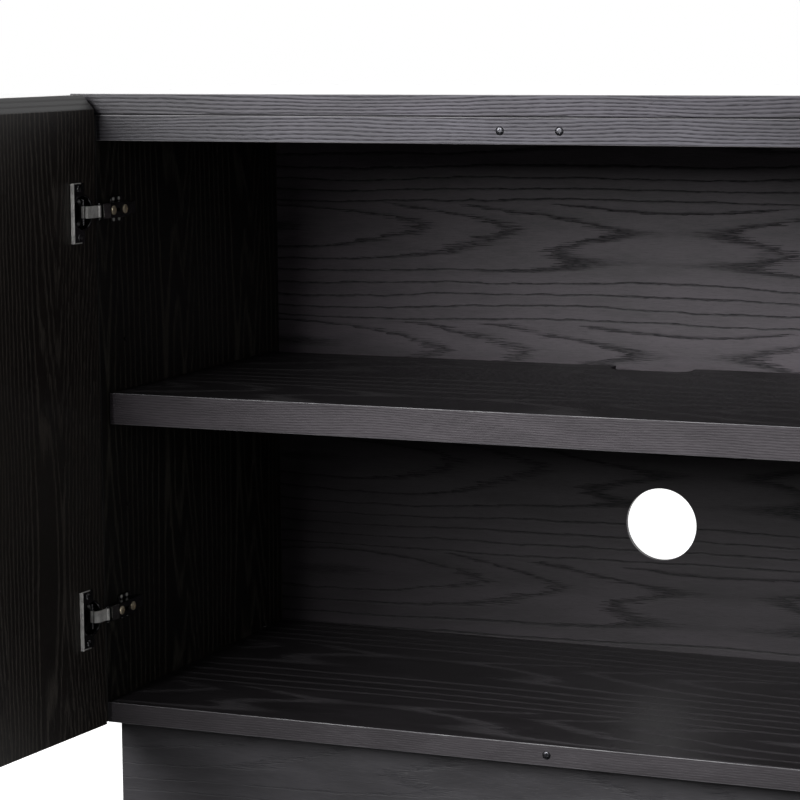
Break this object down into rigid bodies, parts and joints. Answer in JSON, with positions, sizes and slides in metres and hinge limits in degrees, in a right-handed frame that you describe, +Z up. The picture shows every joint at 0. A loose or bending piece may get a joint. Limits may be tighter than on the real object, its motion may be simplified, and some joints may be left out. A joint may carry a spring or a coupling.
{
  "type": "media cabinet",
  "caption": "Low two-door media cabinet on a recessed plinth, with an adjustable notched shelf, a cable hole in the back and concealed hinges.",
  "frame": {"origin": "on the floor, under the middle of the carcass, on the underside of the plinth's centre rail", "axes": "+X to the right seen from the front, +Y from the front to the back, +Z up"},
  "size_m": [1.036, 0.9387, 0.76],
  "materials": {
    "oak_carcass": "black-stained open-pore oak veneer, satin, horizontal grain on the top and vertical on the sides",
    "oak_interior": "black-stained cathedral oak veneer, satin, horizontal grain",
    "oak_door": "near-black brown-stained oak veneer, satin, vertical grain",
    "oak_plinth": "black-stained oak veneer, satin, horizontal grain",
    "nickel_steel": "nickel-plated pressed steel, bright",
    "screw_steel": "zinc-plated steel, satin",
    "brassed_steel": "pale brassed steel, satin",
    "magnet_steel": "plated magnet face, satin"
  },
  "bodies": {
    "carcass": {"back_panel": "oak_interior", "bottom_panel": "oak_interior", "left_lower_arm_screw_front": "brassed_steel", "left_lower_arm_screw_rear": "brassed_steel", "left_lower_hinge_arm": "nickel_steel", "left_lower_mounting_plate": "nickel_steel", "left_side": "oak_carcass", "left_upper_arm_screw_front": "brassed_steel", "left_upper_arm_screw_rear": "brassed_steel", "left_upper_hinge_arm": "nickel_steel", "left_upper_mounting_plate": "nickel_steel", "plinth_back": "oak_plinth", "plinth_block_left_back": "oak_plinth", "plinth_block_left_front": "oak_plinth", "plinth_block_right_back": "oak_plinth", "plinth_block_right_front": "oak_plinth", "plinth_centre_rail": "oak_plinth", "plinth_front": "oak_plinth", "plinth_left": "oak_plinth", "plinth_right": "oak_plinth", "right_lower_arm_screw_front": "brassed_steel", "right_lower_arm_screw_rear": "brassed_steel", "right_lower_hinge_arm": "nickel_steel", "right_lower_mounting_plate": "nickel_steel", "right_side": "oak_carcass", "right_upper_arm_screw_front": "brassed_steel", "right_upper_arm_screw_rear": "brassed_steel", "right_upper_hinge_arm": "nickel_steel", "right_upper_mounting_plate": "nickel_steel", "shelf": "oak_interior", "shelf_pin_left_back": "screw_steel", "shelf_pin_left_front": "screw_steel", "shelf_pin_right_back": "screw_steel", "shelf_pin_right_front": "screw_steel", "strike_screw_bottom": "screw_steel", "strike_screw_top_left": "screw_steel", "strike_screw_top_right": "screw_steel", "sub_top": "oak_carcass", "top_panel": "oak_carcass"},
    "left_links": {"left_lower_hinge_link": "nickel_steel", "left_upper_hinge_link": "nickel_steel"},
    "left_door": {"left_door": "oak_door", "left_door_magnet_top": "magnet_steel", "left_lower_flange_screw_lower": "screw_steel", "left_lower_flange_screw_upper": "screw_steel", "left_lower_hinge_cup": "nickel_steel", "left_upper_flange_screw_lower": "screw_steel", "left_upper_flange_screw_upper": "screw_steel", "left_upper_hinge_cup": "nickel_steel"},
    "right_links": {"right_lower_hinge_link": "nickel_steel", "right_upper_hinge_link": "nickel_steel"},
    "right_door": {"right_door": "oak_door", "right_door_magnet_bottom": "magnet_steel", "right_door_magnet_top": "magnet_steel", "right_lower_flange_screw_lower": "screw_steel", "right_lower_flange_screw_upper": "screw_steel", "right_lower_hinge_cup": "nickel_steel", "right_upper_flange_screw_lower": "screw_steel", "right_upper_flange_screw_upper": "screw_steel", "right_upper_hinge_cup": "nickel_steel"}
  },
  "joints": [
    {"name": "left_link_swing", "type": "hinge", "parent": "carcass", "child": "left_links", "pos_m": [-0.452, -0.2335, 0.4388], "axis": [0, 0, -1], "range_deg": [0, 74]},
    {"name": "left_door_swing", "type": "hinge", "parent": "left_links", "child": "left_door", "pos_m": [-0.46127, -0.24915, 0.4388], "axis": [0, 0, 1], "range_deg": [0, 169]},
    {"name": "right_link_swing", "type": "hinge", "parent": "carcass", "child": "right_links", "pos_m": [0.452, -0.2335, 0.4388], "axis": [0, 0, 1], "range_deg": [0, 74]},
    {"name": "right_door_swing", "type": "hinge", "parent": "right_links", "child": "right_door", "pos_m": [0.46127, -0.24915, 0.4388], "axis": [0, 0, -1], "range_deg": [0, 169]}
  ],
  "couplings": [
    {"joint": "left_link_swing", "follows": "left_door_swing", "ratio": 0.43787},
    {"joint": "right_link_swing", "follows": "right_door_swing", "ratio": 0.43787}
  ]
}
